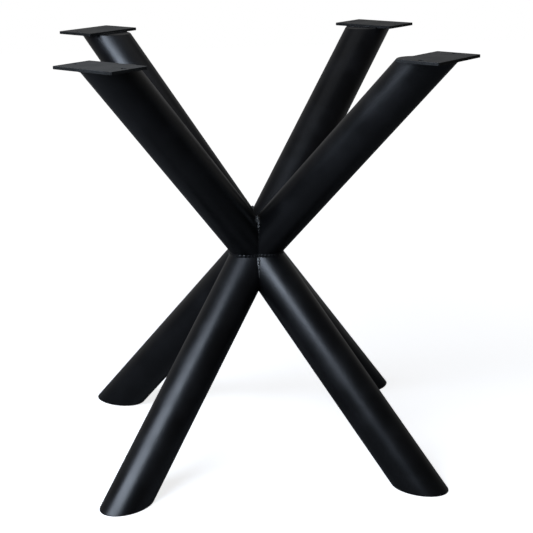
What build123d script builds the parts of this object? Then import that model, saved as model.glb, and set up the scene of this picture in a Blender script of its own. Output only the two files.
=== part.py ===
from build123d import *
import math
import os

# Spider table base: eight equal round tubes, mitred and welded at one hub at mid height
# Origin on the floor under the hub, +Z up, -Y the front, the legs over the diagonals of X and Y

# Overall sizes, in millimetres
total_height = 735.0
foot_spacing = 500.0

# Leg tubes
tube_diameter = 76.1
tube_wall = 2.5

# Elliptical plates that close the level cut of each tube
closing_plate_thickness = 4.0

# Mounting plates for the table top, cut from flat bar
plate_length = 125.0
plate_width = 80.0
plate_thickness = 5.0
plate_overhang = 6.0
plate_edge_break = 0.5
screw_hole_diameter = 9.0
screw_hole_spacing = 100.0

# Weld beads: the throat of each in the middle of its arc and at the hub's corners
waist_weld_throat = 1.8
rising_weld_throat = 3.4
corner_weld_throat = 0.7
widest_bead = 8.0
plate_weld_leg = 3.5
weld_toe = 0.3

# Sizes that follow from the ones above
tube_radius = tube_diameter / 2
leg_top = total_height - plate_thickness
hub_height = leg_top / 2
plan_reach = foot_spacing / math.sqrt(2)
leg_slope = math.atan2(hub_height, plan_reach)
leg_length = math.hypot(plan_reach, hub_height)
cut_half_length = tube_radius / math.sin(leg_slope)
plate_outer_edge = plan_reach + cut_half_length + plate_overhang
plate_inner_edge = plate_outer_edge - plate_width
end_height = hub_height - closing_plate_thickness

# Solids that only cut others reach this far, past the whole base
cutter_size = 2 * (total_height + foot_spacing + tube_diameter)

# Turns round the hub, in degrees from +X, and the legs' places, half a quarter turn past them
QUARTER_TURNS = (0, 90, 180, 270)
HALF_QUARTER = 45
PLACES = ("back_right", "back_left", "front_left", "front_right")
LEG_TURNS = {place: turn + HALF_QUARTER for place, turn in zip(PLACES, QUARTER_TURNS)}


def leg_direction(plan_angle=0.0):
    """The direction of an upper leg's axis, out and up from the hub."""
    level_part = math.cos(leg_slope)
    angle = math.radians(plan_angle)
    return Vector(level_part * math.cos(angle), level_part * math.sin(angle), math.sin(leg_slope))


def bar_along(direction, radius):
    """A round bar centred on the hub that runs past both ends of a leg."""
    return Plane(origin=(0, 0, 0), z_dir=direction) * Cylinder(radius, 2 * (leg_length + tube_diameter))


def leg_cell(start, end):
    """The share of a leg between its mirror planes, from one rise over the hub to another."""
    corner = Box(cutter_size, cutter_size, end - start, align=Align.MIN)
    return Pos(0, 0, start) * Rot(0, 0, -HALF_QUARTER) * corner


def leg_tube():
    """One leg over +X: the hub end mitred in its three mirror planes, the outer end cut level."""
    outside = bar_along(leg_direction(), tube_radius)
    bore = bar_along(leg_direction(), tube_radius - tube_wall)
    return (outside - bore) & leg_cell(0, end_height)


def closing_plate():
    """The elliptical plate welded over a leg's level cut, ground flush with the tube."""
    return bar_along(leg_direction(), tube_radius) & leg_cell(end_height, hub_height)


def mounting_plate():
    """A length of flat bar across the leg's end, with a screw hole near each of its own ends."""
    blank = extrude(Rectangle(plate_width, plate_length), plate_thickness)
    blank = chamfer(blank.faces().filter_by(Axis.Z).edges(), plate_edge_break)
    drill = Cylinder(screw_hole_diameter / 2, 3 * plate_thickness)
    for end in (-1, 1):
        blank -= Pos(0, end * screw_hole_spacing / 2, 0) * drill
    return Pos(plate_inner_edge + plate_width / 2, 0, hub_height) * blank


def edge_weld():
    """The fillet between a mounting plate's inner edge and the closing plate that it crosses."""
    profile = Polygon((0, 0), (-plate_weld_leg, 0), (0, plate_weld_leg), align=None)
    prism = extrude(Plane.XZ * profile, plate_length, both=True)
    landing = extrude(Ellipse(cut_half_length, tube_radius), plate_weld_leg)
    landing = Pos(plan_reach, 0, hub_height) * landing
    return Pos(plate_inner_edge, 0, hub_height) * prism & landing


def underside_weld():
    """The fillet round a leg's end under its mounting plate, as far as the plate covers it."""
    outlines = []
    for drop, stand_off in ((plate_weld_leg, weld_toe), (0, plate_weld_leg)):
        outline = Ellipse(cut_half_length + stand_off, tube_radius + stand_off)
        outlines.append(Pos(plan_reach * (1 - drop / hub_height), 0, hub_height - drop) * outline.face())
    skirt = loft(outlines, ruled=True)
    covered = Box(plate_width, plate_length, 2 * plate_weld_leg, align=(Align.MIN, Align.CENTER, Align.MAX))
    covered = Pos(plate_inner_edge, 0, hub_height) * covered
    return (skirt & covered) - bar_along(leg_direction(), tube_radius)


def seam_bead(first, second, throat, borders):
    """The bead along the valley between two legs, with the elliptical arc of their seam as its root."""
    across = (first - second).normalized()
    along = (first + second).normalized()
    crest = Ellipse(tube_radius / first.dot(across) + throat, tube_radius + corner_weld_throat)
    face = extrude(crest, widest_bead / 2, both=True)
    bead = Plane(origin=(0, 0, 0), x_dir=along, z_dir=across) * face
    for inward in borders:
        bead = split(bead, bisect_by=Plane(origin=(0, 0, 0), z_dir=inward), keep=Keep.TOP)
    for direction in (first, second):
        bead -= bar_along(direction, tube_radius)
    return bead


def four_times(master):
    """A master repeated round the hub and joined into one piece."""
    return Part() + [Rot(0, 0, turn) * master for turn in QUARTER_TURNS]


def waist_weld():
    """The ring of four level beads between the upper and the lower legs."""
    upper = leg_direction(HALF_QUARTER)
    lower = Vector(upper.X, upper.Y, -upper.Z)
    return four_times(seam_bead(upper, lower, waist_weld_throat, [Vector(1, 0, 0), Vector(0, 1, 0)]))


def rising_weld(waist):
    """The cross of four beads between the upper legs, from the waist ring to the top of the hub."""
    legs = [leg_direction(angle) for angle in (HALF_QUARTER, -HALF_QUARTER)]
    borders = [Vector(1, 1, 0), Vector(1, -1, 0), Vector(0, 0, 1)]
    return four_times(seam_bead(*legs, rising_weld_throat, borders) - waist)


def placed(master, plan_angle=0, below=False):
    """A copy of a piece made about the hub over +X, turned to its place, above or below the hub."""
    flip = Rot(180, 0, 0) if below else Rot(0, 0, 0)
    return Pos(0, 0, hub_height) * Rot(0, 0, plan_angle) * flip * master


def weld_beads():
    """All beads as one group: the cage round the hub, and two at each mounting plate."""
    waist = waist_weld()
    rising = rising_weld(waist)
    hub_beads = [placed(waist), placed(rising), placed(rising, below=True)]
    edge, underside = edge_weld(), underside_weld()
    plate_beads = [placed(bead, angle) for bead in (edge, underside) for angle in LEG_TURNS.values()]
    return Part() + hub_beads + plate_beads


def build_pieces():
    """Every piece of the base by its node's name."""
    tube, closing, plate = leg_tube(), closing_plate(), mounting_plate()
    pieces = {}
    for place, angle in LEG_TURNS.items():
        pieces[f"upper_leg_{place}"] = placed(tube, angle)
        pieces[f"lower_leg_{place}"] = placed(tube, angle, below=True)
        pieces[f"top_closing_plate_{place}"] = placed(closing, angle)
        pieces[f"foot_closing_plate_{place}"] = placed(closing, angle, below=True)
        pieces[f"mounting_plate_{place}"] = placed(plate, angle)
    pieces["weld_beads"] = weld_beads()
    return pieces


os.makedirs("parts", exist_ok=True)
for node, piece in build_pieces().items():
    export_step(piece, f"parts/{node}.step")
    print(node, len(piece.solids()), round(piece.volume), piece.is_valid)
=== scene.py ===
import math

import bmesh
import bpy
from mathutils import Matrix, Vector, noise


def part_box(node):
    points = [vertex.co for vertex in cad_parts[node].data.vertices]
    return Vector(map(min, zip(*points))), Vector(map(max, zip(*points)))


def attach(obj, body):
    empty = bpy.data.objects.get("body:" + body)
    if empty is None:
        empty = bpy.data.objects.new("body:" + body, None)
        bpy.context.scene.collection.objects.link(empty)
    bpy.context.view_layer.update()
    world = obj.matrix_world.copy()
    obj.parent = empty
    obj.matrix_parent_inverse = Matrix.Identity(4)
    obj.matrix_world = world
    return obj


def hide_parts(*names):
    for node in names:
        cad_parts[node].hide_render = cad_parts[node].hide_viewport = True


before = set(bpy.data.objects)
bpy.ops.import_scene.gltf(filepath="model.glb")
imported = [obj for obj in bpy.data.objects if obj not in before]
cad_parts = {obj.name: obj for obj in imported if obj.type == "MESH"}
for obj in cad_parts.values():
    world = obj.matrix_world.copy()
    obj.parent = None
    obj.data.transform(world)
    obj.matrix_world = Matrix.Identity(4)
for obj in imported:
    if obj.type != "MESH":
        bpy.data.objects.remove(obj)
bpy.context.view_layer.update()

# Spider table base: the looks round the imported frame, in metres, in the frame's own axes
# Each piece is made once about the hub, over +X, and then turned to its places

# Sizes that the part's source gives
TUBE_RADIUS = 0.07610 / 2
TUBE_WALL = 0.0025
FOOT_SPACING = 0.500
PLATE_WIDTH = 0.080
PLATE_LENGTH = 0.125
PLATE_EDGE_BREAK = 0.0005
PLATE_OVERHANG = 0.006
SCREW_HOLE_RADIUS = 0.0045
SCREW_HOLE_SPACING = 0.100

# Small forms that are made only here: the closing plates' rounded rims and the mounting plates' cut
# corners
RIM_ROUNDING = 0.0012
PLATE_CORNER = 0.0015

# Heights that the frame gives
plate_low, plate_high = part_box("mounting_plate_front_left")
closing_low, closing_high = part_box("top_closing_plate_front_left")
PLATE_THICKNESS = plate_high.z - plate_low.z
CLOSING_THICKNESS = closing_high.z - closing_low.z
HUB_HEIGHT = plate_low.z / 2

# Sizes that follow from the ones above
PLAN_REACH = FOOT_SPACING / math.sqrt(2)
SLOPE = math.atan2(HUB_HEIGHT, PLAN_REACH)
CUT_HALF_LENGTH = TUBE_RADIUS / math.sin(SLOPE)
PLATE_INNER_EDGE = PLAN_REACH + CUT_HALF_LENGTH + PLATE_OVERHANG - PLATE_WIDTH

# Legs of the weld beads, and the distance from one ripple to the next
WAIST_WELD_LEG = 0.0034
RISING_WELD_LEGS = {"upper": 0.0054, "lower": 0.0030}
PLATE_WELD_LEG = 0.0024
RIPPLE_PITCH = 0.0060

# How far a bead crowns over its flat face and how high its ripples are, as shares of its leg
WELD_RELIEF = (0.20, 0.40)
WAIST_RELIEF = (0.04, 0.12)

# How deep a bead's face is sunk and its root lies under the corner it fills, as shares of its leg
FACE_SUNK = 0.08
ROOT_SUNK = 0.3

# A bead wanders over this many ripples, which moves them by this many ripples at most
WANDER_RIPPLES = 3
RIPPLE_WANDER = 0.5

# How far back a ripple bends in the middle of its bead, in ripples
RIPPLE_CURVE = 0.4

# How much of a bead's width follows its wandering and its ripples
WIDTH_WANDER = 0.3
WIDTH_RIPPLE = 0.2

# Where along its run each rising bead stands proud, over how wide a share of the run, and how full
# it is beyond
PROUD_RISING = {"upper": (0.55, 0.15), "lower": (0.06, 0.14)}
THIN_BEAD = 0.08

# Steps along and across the meshes
TUBE_COLUMNS = 160
LEG_ROWS = 24
RIM_STEPS = 6
BEAD_COLUMNS = 8
SEAM_STEPS = 220
UNDERSIDE_STEPS = 420
EDGE_STEPS = 200

# Angles in degrees over which an edge stays sharp, and how near two points are to be one, in metres
TUBE_SHARP = 35
PLATE_SHARP = 12
BEAD_SHARP = 60
SAME_PLACE = 1e-6

# Powder coat: the range of the clouds' noise over which it turns lighter, what that adds to its
# roughness at either end, the strength of its orange peel, and the upward share of a face's normal
# from which a painted sheen lightens it, standing in for the light that flat tops catch
CLOUD_DETAIL = 5
CLOUD_RANGE = (0.4, 0.7)
DULLING = (-0.04, 0.05)
PEEL_DETAIL = 3
PEEL_STRENGTH = 0.5
PAINTED_SHEEN_FROM = 0.6

# Light of the studio round the object, where 1 is white, and the range of a ray's +Y part over
# which the backdrop's takes over from the rest
SURROUND_GLOW = 0.04
BACKDROP_GLOW = 0.21
BACKDROP_RANGE = (0.2, 0.9)

# The floor reaches this far each way and lies just under the feet. To rays other than the camera's
# it is a dull grey, which takes on the backdrop's glow over a range of distances behind the object
FLOOR_REACH = 6.0
FLOOR_DROP = 0.0005
FLOOR_GREY = (0.14, 0.14, 0.14, 1)
FLOOR_ROUGHNESS = 0.9
FLOOR_GLOW_RANGE = (0.3, 2.5)

# What the camera sees of the floor: a part that is lit, for the shadows, and a whiteness of its own
# that rises over a range of distances from the object
FLOOR_LIT_GREY = (0.8, 0.8, 0.8, 1)
FLOOR_WHITENESS = (0.80, 1.0)
FLOOR_WHITENESS_RANGE = (0.4, 2.0)

# The photograph's viewpoint, from a fit to the tubes, plates and feet, in metres, degrees and mm
CAMERA_PLACE = (-0.26302, -2.43788, 1.01939)
CAMERA_YAW = -6.602
CAMERA_PITCH = -15.644
CAMERA_ROLL = -0.703
CAMERA_LENS = 95.58
SENSOR_WIDTH = 36

# Plan angles in degrees: half the turn from a leg to the next one, the places of the legs of each
# level, and the four sides between them
HALF_QUARTER = 45
QUARTERS = {"back_right": 45, "back_left": 135, "front_left": 225, "front_right": 315}
SIDES = {"right": 0, "back": 90, "left": 180, "front": 270}

# Straight up, and the way that the upper leg over +X runs out from the hub
UP = Vector((0, 0, 1))
AXIS = Vector((math.cos(SLOPE), 0, math.sin(SLOPE)))

# A Mix node has sockets of one name for each kind of value: these are the places of its colours
COLOUR_A, COLOUR_B, MIXED_COLOUR = 6, 7, 2
WHITE = (1, 1, 1, 1)


def skinned(name, loops, ends_closed):
    """A closed mesh over a row of loops, capped at its ends or else running back into itself."""
    count = len(loops[0])
    vertices = [point for loop in loops for point in loop]
    faces = []
    for row in range(len(loops) - (1 if ends_closed else 0)):
        here, there = row * count, (row + 1) % len(loops) * count
        for column in range(count):
            beside = (column + 1) % count
            faces.append((here + column, here + beside, there + beside, there + column))
    if ends_closed:
        faces.append(tuple(reversed(range(count))))
        faces.append(tuple(range(len(vertices) - count, len(vertices))))
    mesh = bpy.data.meshes.new(name)
    mesh.from_pydata([tuple(point) for point in vertices], [], faces)
    return mesh


def finished(mesh, material, sharp_above):
    """Gives a mesh outward faces, its material and smooth shading but for edges over an angle."""
    shell = bmesh.new()
    shell.from_mesh(mesh)
    bmesh.ops.remove_doubles(shell, verts=shell.verts, dist=SAME_PLACE)
    bmesh.ops.recalc_face_normals(shell, faces=shell.faces)
    shell.to_mesh(mesh)
    shell.free()
    mesh.materials.append(material)
    mesh.validate()
    mesh.shade_smooth()
    mesh.set_sharp_from_angle(angle=math.radians(sharp_above))
    return mesh


def put(name, mesh, replaced, plan_angle, below=False):
    """One copy of a master, turned to its place round the hub, riding on the frame."""
    piece = bpy.data.objects.new(name, mesh)
    bpy.context.scene.collection.objects.link(piece)
    flip = Matrix.Rotation(math.pi, 4, "X") if below else Matrix.Identity(4)
    turn = Matrix.Rotation(math.radians(plan_angle), 4, "Z")
    piece.matrix_world = Matrix.Translation(UP * HUB_HEIGHT) @ turn @ flip
    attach(piece, "root")
    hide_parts(replaced)


# Legs

def leg_angles(count):
    """Angles round a leg's axis from its upper side, with one at each corner of the hub."""
    corner = math.pi - math.atan(1 / math.sin(SLOPE))
    bounds = (0, corner, 2 * math.pi - corner, 2 * math.pi)
    angles = []
    for low, high in zip(bounds, bounds[1:]):
        steps = round(count * (high - low) / (2 * math.pi))
        angles += [low + (high - low) * step / steps for step in range(steps)]
    return angles


def leg_line(angle, radius, end_height):
    """Where one line along a leg's tube starts, on the nearest mirror plane, and where it ends."""
    rise = radius * math.cos(angle)
    offset = Vector((-rise * math.sin(SLOPE), radius * math.sin(angle), rise * math.cos(SLOPE)))
    start = max(-offset.z / AXIS.z, (abs(offset.y) - offset.x) / AXIS.x)
    end = (end_height - offset.z) / AXIS.z
    return offset + start * AXIS, offset + end * AXIS


def leg_mesh(material):
    """One leg tube: outside, level cut, bore and the mitred hub end."""
    end_height = HUB_HEIGHT - CLOSING_THICKNESS
    angles = leg_angles(TUBE_COLUMNS)
    outside = [leg_line(angle, TUBE_RADIUS, end_height) for angle in angles]
    bore = [leg_line(angle, TUBE_RADIUS - TUBE_WALL, end_height) for angle in angles]
    loops = []
    for row in range(LEG_ROWS + 1):
        loops.append([start.lerp(end, row / LEG_ROWS) for start, end in outside])
    loops += [[end for start, end in bore], [start for start, end in bore]]
    return finished(skinned("leg", loops, ends_closed=False), material, TUBE_SHARP)


def closing_plate_mesh(material):
    """The elliptical plate on a leg's level cut, with its outer rim rounded over.

    A loop close under the rounding and one close inside it keep the flat faces' shading flat.
    """
    under_rounding = HUB_HEIGHT - 1.2 * RIM_ROUNDING
    inside_rounding = 2 * RIM_ROUNDING
    side = (HUB_HEIGHT - CLOSING_THICKNESS, under_rounding, HUB_HEIGHT - RIM_ROUNDING)
    heights_and_insets = [(height, 0) for height in side]
    for step in range(1, RIM_STEPS + 1):
        turn = math.pi / 2 * step / RIM_STEPS
        inset = RIM_ROUNDING * (1 - math.cos(turn))
        heights_and_insets.append((HUB_HEIGHT - RIM_ROUNDING * (1 - math.sin(turn)), inset))
    heights_and_insets.append((HUB_HEIGHT, inside_rounding))
    loops = []
    for height, inset in heights_and_insets:
        loop = []
        for column in range(TUBE_COLUMNS):
            angle = 2 * math.pi * column / TUBE_COLUMNS
            x = PLAN_REACH * height / HUB_HEIGHT + (CUT_HALF_LENGTH - inset) * math.cos(angle)
            loop.append(Vector((x, (TUBE_RADIUS - inset) * math.sin(angle), height)))
        loops.append(loop)
    return finished(skinned("closing_plate", loops, ends_closed=True), material, TUBE_SHARP)


# Mounting plates

def closed_outline(curve, corners, handles):
    """Adds one closed Bezier outline to a flat curve."""
    spline = curve.splines.new("BEZIER")
    spline.bezier_points.add(len(corners) - 1)
    spline.use_cyclic_u = True
    for knot, corner in zip(spline.bezier_points, corners):
        knot.co = (*corner, 0)
        knot.handle_left_type = knot.handle_right_type = handles


def mounting_plate_mesh(material):
    """A length of flat bar with broken edges, cut corners and a screw hole near each end."""
    curve = bpy.data.curves.new("plate_outline", "CURVE")
    curve.dimensions = "2D"
    curve.fill_mode = "BOTH"
    curve.extrude = PLATE_THICKNESS / 2 - PLATE_EDGE_BREAK
    curve.bevel_depth = PLATE_EDGE_BREAK
    curve.bevel_resolution = 1
    curve.offset = -PLATE_EDGE_BREAK
    curve.resolution_u = 12
    middle = PLATE_INNER_EDGE + PLATE_WIDTH / 2
    outline = []
    for x_side, y_side in ((1, 1), (-1, 1), (-1, -1), (1, -1)):
        for x_cut, y_cut in ((0, PLATE_CORNER), (PLATE_CORNER, 0))[::x_side * y_side]:
            x = middle + x_side * (PLATE_WIDTH / 2 - x_cut)
            outline.append((x, y_side * (PLATE_LENGTH / 2 - y_cut)))
    closed_outline(curve, outline, "VECTOR")
    for side in (-1, 1):
        hole = []
        for quarter in range(4):
            angle = quarter * math.pi / 2
            y = side * SCREW_HOLE_SPACING / 2 + SCREW_HOLE_RADIUS * math.sin(angle)
            hole.append((middle + SCREW_HOLE_RADIUS * math.cos(angle), y))
        closed_outline(curve, hole, "AUTO")
    holder = bpy.data.objects.new("plate_outline", curve)
    mesh = bpy.data.meshes.new_from_object(holder)
    bpy.data.objects.remove(holder)
    mesh.name = "mounting_plate"
    mesh.transform(Matrix.Translation(UP * (HUB_HEIGHT + PLATE_THICKNESS / 2)))
    return finished(mesh, material, PLATE_SHARP)


# Weld beads

def bead_mesh(name, stations, leg, material, relief=WELD_RELIEF, proud=None):
    """A rippled bead along a corner between two surfaces.

    A station is a root point with the directions up both surfaces, square to the bead's run. Where
    proud is given, the bead stands proud round that place of its run and is thin beyond. Its name
    gives each bead its own way to wander.
    """
    own_way = sum(name.encode())
    travelled = 0
    loops = []
    for index, (root, first, second) in enumerate(stations):
        if index:
            travelled += (root - stations[index - 1][0]).length
        outward = (first + second).normalized()
        wander = noise.noise(Vector((travelled / (WANDER_RIPPLES * RIPPLE_PITCH), own_way, 0)))
        fullness = 1
        if proud:
            away = (index / (len(stations) - 1) - proud[0]) / proud[1]
            fullness = THIN_BEAD + (1 - THIN_BEAD) * math.exp(-away ** 2)
        loop = []
        for step in range(BEAD_COLUMNS + 1):
            share = step / BEAD_COLUMNS
            bulge = 4 * share * (1 - share)
            phase = travelled / RIPPLE_PITCH + RIPPLE_CURVE * bulge + RIPPLE_WANDER * wander
            hump = abs(math.sin(math.pi * phase)) - 0.5
            width = fullness * leg * (1 + WIDTH_WANDER * wander + WIDTH_RIPPLE * hump)
            height = fullness * leg * (relief[0] + relief[1] * (hump + wander)) * bulge
            chord = first * (1 - share) + second * share
            loop.append(root + width * chord + (height - FACE_SUNK * leg) * outward)
        loop.append(root - ROOT_SUNK * leg * outward)
        loops.append(loop)
    return finished(skinned(name, loops, ends_closed=True), material, BEAD_SHARP)


def seam_stations(first_leg, second_leg, start, end):
    """Stations along the elliptical seam of two legs, from one corner of the hub to another."""
    across = (first_leg - second_leg).normalized()
    along = (first_leg + second_leg).normalized()
    beside = along.cross(across)
    half_angle = math.acos(first_leg.dot(along))
    long_half, short_half = TUBE_RADIUS / math.sin(half_angle), TUBE_RADIUS
    low, high = (math.atan2(way.dot(beside) / short_half, way.dot(along) / long_half)
                 for way in (start, end))
    stations = []
    for step in range(SEAM_STEPS + 1):
        angle = low + (high - low) * step / SEAM_STEPS
        root = long_half * math.cos(angle) * along + short_half * math.sin(angle) * beside
        out = short_half * math.cos(angle) * along + long_half * math.sin(angle) * beside
        tilt = math.asin(math.cos(angle) * math.cos(half_angle))
        rise, spread = math.sin(tilt) * out.normalized(), math.cos(tilt) * across
        stations.append((root, rise + spread, rise - spread))
    return stations


def waist_weld_mesh(name, material):
    """The bead between an upper leg and the lower leg under it."""
    lower = Vector((AXIS.x, 0, -AXIS.z))
    stations = seam_stations(AXIS, lower, Vector((1, -1, 0)), Vector((1, 1, 0)))
    return bead_mesh(name, stations, WAIST_WELD_LEG, material, WAIST_RELIEF)


def rising_weld_mesh(name, level, material):
    """The bead between two neighbouring legs of a level, from the side of the hub to its end."""
    turns = (HALF_QUARTER, -HALF_QUARTER)
    left, right = (Matrix.Rotation(math.radians(turn), 3, "Z") @ AXIS for turn in turns)
    stations = seam_stations(left, right, Vector((1, 0, 0)), UP)
    return bead_mesh(name, stations, RISING_WELD_LEGS[level], material, proud=PROUD_RISING[level])


def underside_weld_mesh(material):
    """The bead round a leg's end under its mounting plate, as far as the plate covers it."""
    reach = math.acos((PLATE_INNER_EDGE + PLATE_WELD_LEG - PLAN_REACH) / CUT_HALF_LENGTH)
    stations = []
    for step in range(UNDERSIDE_STEPS + 1):
        angle = reach * (2 * step / UNDERSIDE_STEPS - 1)
        x, y = CUT_HALF_LENGTH * math.cos(angle), TUBE_RADIUS * math.sin(angle)
        out = Vector((x / CUT_HALF_LENGTH ** 2, y / TUBE_RADIUS ** 2, 0)).normalized()
        run = UP.cross(out)
        down = (run.dot(AXIS) * run - AXIS).normalized()
        stations.append((Vector((PLAN_REACH + x, y, HUB_HEIGHT)), down, out))
    return bead_mesh("underside_weld", stations, PLATE_WELD_LEG, material)


def edge_weld_mesh(material):
    """The bead along a mounting plate's inner edge, over the closing plate."""
    lean = (PLATE_INNER_EDGE - PLATE_WELD_LEG - PLAN_REACH) / CUT_HALF_LENGTH
    half_run = TUBE_RADIUS * math.sqrt(1 - lean ** 2) - RIM_ROUNDING
    stations = []
    for step in range(EDGE_STEPS + 1):
        y = half_run * (1 - 2 * step / EDGE_STEPS)
        stations.append((Vector((PLATE_INNER_EDGE, y, HUB_HEIGHT)), UP, Vector((-1, 0, 0))))
    return bead_mesh("edge_weld", stations, PLATE_WELD_LEG, material)


# Nodes

def set_inputs(tree, node, inputs):
    """Sets a node's inputs, by name or place, to values or links them to other nodes' outputs."""
    for socket, value in inputs.items():
        if isinstance(value, bpy.types.NodeSocket):
            tree.links.new(value, node.inputs[socket])
        else:
            node.inputs[socket].default_value = value


def add_node(tree, kind, inputs=None, **settings):
    """Adds a node with its own settings and its inputs, and gives its outputs."""
    node = tree.nodes.new(kind)
    for name, value in settings.items():
        setattr(node, name, value)
    set_inputs(tree, node, inputs or {})
    return node.outputs


def ramp(tree, value, start=(0, 1), end=(0, 1), shape="LINEAR"):
    """A value mapped from one range to another, of numbers or of other nodes' outputs."""
    ends = dict(zip(("From Min", "From Max", "To Min", "To Max"), (*start, *end)))
    inputs = {"Value": value, **ends}
    return add_node(tree, "ShaderNodeMapRange", inputs, interpolation_type=shape)["Result"]


def mixed(tree, share, first, second):
    """A mix of two colours, with a share of the second one."""
    inputs = {"Factor": share, COLOUR_A: first, COLOUR_B: second}
    return add_node(tree, "ShaderNodeMix", inputs, data_type="RGBA")[MIXED_COLOUR]


def noise_of(tree, place, scale, detail):
    """A noise texture over a place in the object."""
    inputs = {"Vector": place, "Scale": scale, "Detail": detail}
    return add_node(tree, "ShaderNodeTexNoise", inputs)["Fac"]


# Materials

def coating(name, colour, light_colour, roughness, patches, grain, bump, gloss=0.5, painted_sheen=None):
    """Powder coat: a fine orange peel under a faint cloud of lighter and duller patches.

    Patches and grain are the scales of the cloud and of the peel, and bump is the peel's depth in
    metres. A painted sheen colour, where one is given, lightens the faces that look up: painted
    light standing in for the sheen that upward faces catch.
    """
    material = bpy.data.materials.new(name)
    material.use_nodes = True
    tree = material.node_tree
    place = add_node(tree, "ShaderNodeTexCoord")

    clouds = noise_of(tree, place["Object"], patches, CLOUD_DETAIL)
    share = ramp(tree, clouds, start=CLOUD_RANGE)
    tint = mixed(tree, share, (*colour, 1), (*light_colour, 1))
    # Painted sheen: faces that look up are mixed towards a lighter colour, as painted light on the
    # tops
    if painted_sheen:
        upward = add_node(tree, "ShaderNodeSeparateXYZ", {"Vector": place["Normal"]})["Z"]
        tint = mixed(tree, ramp(tree, upward, start=(PAINTED_SHEEN_FROM, 1)), tint, (*painted_sheen, 1))

    peel = noise_of(tree, place["Object"], grain, PEEL_DETAIL)
    bumped = {"Strength": PEEL_STRENGTH, "Distance": bump, "Height": peel}
    relief = add_node(tree, "ShaderNodeBump", bumped)
    set_inputs(tree, tree.nodes["Principled BSDF"], {
        "Base Color": tint,
        "Roughness": ramp(tree, share, end=[roughness + change for change in DULLING]),
        "Specular IOR Level": gloss,
        "Normal": relief["Normal"],
    })
    return material


def floor_material():
    """White to the camera but for shadows, and to other rays a dim grey, lighter far behind."""
    material = bpy.data.materials.new("studio_floor")
    material.use_nodes = True
    tree = material.node_tree
    place = add_node(tree, "ShaderNodeNewGeometry")["Position"]

    depth = add_node(tree, "ShaderNodeSeparateXYZ", {"Vector": place})["Y"]
    paper = tree.nodes["Principled BSDF"]
    set_inputs(tree, paper, {
        "Base Color": FLOOR_GREY,
        "Roughness": FLOOR_ROUGHNESS,
        "Emission Color": WHITE,
        "Emission Strength": ramp(tree, depth, start=FLOOR_GLOW_RANGE, end=(0, BACKDROP_GLOW)),
    })

    distance = add_node(tree, "ShaderNodeVectorMath", {0: place}, operation="LENGTH")["Value"]
    whiteness = ramp(tree, distance, FLOOR_WHITENESS_RANGE, FLOOR_WHITENESS, shape="SMOOTHSTEP")
    white = add_node(tree, "ShaderNodeEmission", {"Strength": whiteness})["Emission"]
    lit = add_node(tree, "ShaderNodeBsdfDiffuse", {"Color": FLOOR_LIT_GREY})["BSDF"]
    shown = add_node(tree, "ShaderNodeAddShader", {0: white, 1: lit})["Shader"]

    rays = add_node(tree, "ShaderNodeLightPath")
    by_ray = {"Fac": rays["Is Camera Ray"], 1: paper.outputs["BSDF"], 2: shown}
    surface = add_node(tree, "ShaderNodeMixShader", by_ray)["Shader"]
    set_inputs(tree, tree.nodes["Material Output"], {"Surface": surface})
    return material


# Studio

def add_panel(name, place, target, size, power, colour=(1, 1, 1)):
    """A soft rectangular lamp aimed at a point."""
    lamp = bpy.data.lights.new(name, "AREA")
    lamp.shape = "RECTANGLE"
    lamp.size, lamp.size_y = size
    lamp.energy = power
    lamp.color = colour
    holder = bpy.data.objects.new(name, lamp)
    bpy.context.scene.collection.objects.link(holder)
    holder.location = place
    holder.rotation_euler = (Vector(target) - Vector(place)).to_track_quat("-Z", "Y").to_euler()


def add_panels():
    """A bluish lamp at the left front with a wide faint one behind it, and a white one overhead."""
    left = (-0.60, -0.05, 0.933)
    add_panel("left_softbox", place=(-0.905, -0.742, 1.166), target=left,
              size=(1.32, 0.72), power=27.9, colour=(0.74, 0.84, 1.0))
    add_panel("left_halo", place=(-0.978, -0.801, 1.246), target=left,
              size=(2.4, 1.6), power=2.7, colour=(0.50, 0.68, 1.0))
    add_panel("overhead_softbox", place=(0.2, 0.3, 2.6), target=(0, 0, 0.4),
              size=(2.0, 2.0), power=3)


def add_floor():
    """A plain pale floor under the feet, wide enough for every view."""
    ways = ((-1, -1), (1, -1), (1, 1), (-1, 1))
    corners = [(x * FLOOR_REACH, y * FLOOR_REACH, 0) for x, y in ways]
    mesh = bpy.data.meshes.new("floor")
    mesh.from_pydata(corners, [], [(0, 1, 2, 3)])
    mesh.materials.append(floor_material())
    floor = bpy.data.objects.new("floor", mesh)
    floor.location.z = -FLOOR_DROP
    bpy.context.scene.collection.objects.link(floor)


def add_world():
    """White to the camera, and on the object a dim even light with a lighter backdrop behind it."""
    world = bpy.data.worlds.new("studio")
    bpy.context.scene.world = world
    world.use_nodes = True
    tree = world.node_tree
    direction = add_node(tree, "ShaderNodeTexCoord")["Generated"]
    depth = add_node(tree, "ShaderNodeSeparateXYZ", {"Vector": direction})["Y"]
    backdrop = ramp(tree, depth, start=BACKDROP_RANGE, end=(SURROUND_GLOW, BACKDROP_GLOW))
    rays = add_node(tree, "ShaderNodeLightPath")
    mirrored = ramp(tree, rays["Is Glossy Ray"], end=(SURROUND_GLOW, backdrop))
    white_rays = {0: rays["Is Camera Ray"], 1: rays["Is Transmission Ray"]}
    seen = add_node(tree, "ShaderNodeMath", white_rays, operation="MAXIMUM")["Value"]
    level = ramp(tree, seen, end=(mirrored, 1))
    set_inputs(tree, tree.nodes["Background"], {"Color": WHITE, "Strength": level})


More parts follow.
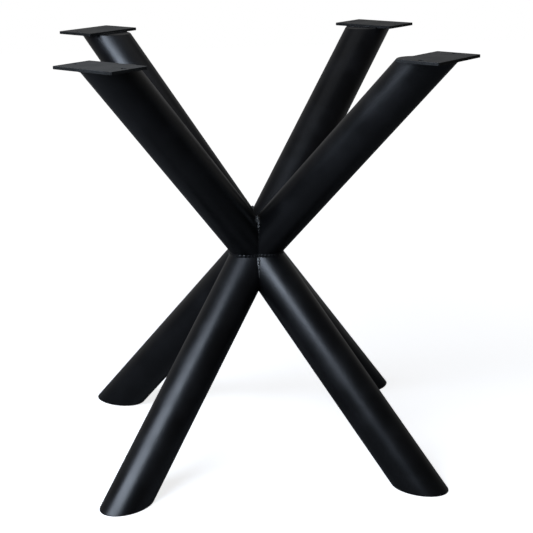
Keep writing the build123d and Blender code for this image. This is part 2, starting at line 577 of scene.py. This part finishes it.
def add_camera():
    """A camera at the photograph's viewpoint."""
    camera = bpy.data.cameras.new("camera")
    camera.sensor_width = SENSOR_WIDTH
    camera.lens = CAMERA_LENS
    holder = bpy.data.objects.new("camera", camera)
    bpy.context.scene.collection.objects.link(holder)
    yaw = Matrix.Rotation(math.radians(CAMERA_YAW), 4, "Z")
    pitch = Matrix.Rotation(math.pi / 2 + math.radians(CAMERA_PITCH), 4, "X")
    roll = Matrix.Rotation(math.radians(CAMERA_ROLL), 4, "Z")
    holder.matrix_world = Matrix.Translation(CAMERA_PLACE) @ yaw @ pitch @ roll
    bpy.context.scene.camera = holder


def build_base():
    """All pieces of the base, each in place of its CAD node."""
    tube_coat = coating(
        "tube_powder_coat", colour=(0.0022, 0.0022, 0.0026), light_colour=(0.0045, 0.0045, 0.0052),
        roughness=0.368, patches=18, grain=900, bump=0.0001)
    # The plate coat's lighter colour on upward faces is a painted sheen on the plates' tops
    plate_coat = coating(
        "plate_powder_coat", colour=(0.007, 0.007, 0.0068), light_colour=(0.013, 0.013, 0.0125),
        roughness=0.42, patches=30, grain=1400, bump=0.0002, gloss=0.25, painted_sheen=(0.036, 0.036, 0.035))
    # The weld coat's small light patches on a near-black coat are painted glints, standing in for
    # the highlights of the beads' ripples
    weld_coat_painted_glints = coating(
        "weld_powder_coat_painted_glints", colour=(0.001, 0.001, 0.001), light_colour=(0.240, 0.240, 0.230),
        roughness=0.42, patches=300, grain=1200, bump=0.0002)
    leg, closing = leg_mesh(tube_coat), closing_plate_mesh(tube_coat)
    plate = mounting_plate_mesh(plate_coat)
    underside, edge = underside_weld_mesh(tube_coat), edge_weld_mesh(tube_coat)
    for place, angle in QUARTERS.items():
        for level, end, below in (("upper", "top", False), ("lower", "foot", True)):
            leg_node, closing_node = f"{level}_leg_{place}", f"{end}_closing_plate_{place}"
            put(f"{leg_node}_tube", leg, leg_node, angle, below)
            put(f"{closing_node}_rounded", closing, closing_node, angle, below)
        plate_node = f"mounting_plate_{place}"
        put(f"{plate_node}_drilled", plate, plate_node, angle)
        put(f"underside_weld_{place}", underside, "weld_beads", angle)
        put(f"edge_weld_{place}", edge, "weld_beads", angle)
        name = f"waist_weld_{place}"
        put(name, waist_weld_mesh(name, tube_coat), "weld_beads", angle)
    for place, angle in SIDES.items():
        for level, below in (("upper", False), ("lower", True)):
            name = f"{level}_seam_weld_{place}"
            # The rising beads take the coat whose light patches are painted glints
            seam = rising_weld_mesh(name, level, weld_coat_painted_glints)
            put(name, seam, "weld_beads", angle, below)


build_base()
add_floor()
add_world()
add_panels()
add_camera()
bpy.context.scene.view_settings.view_transform = "Standard"
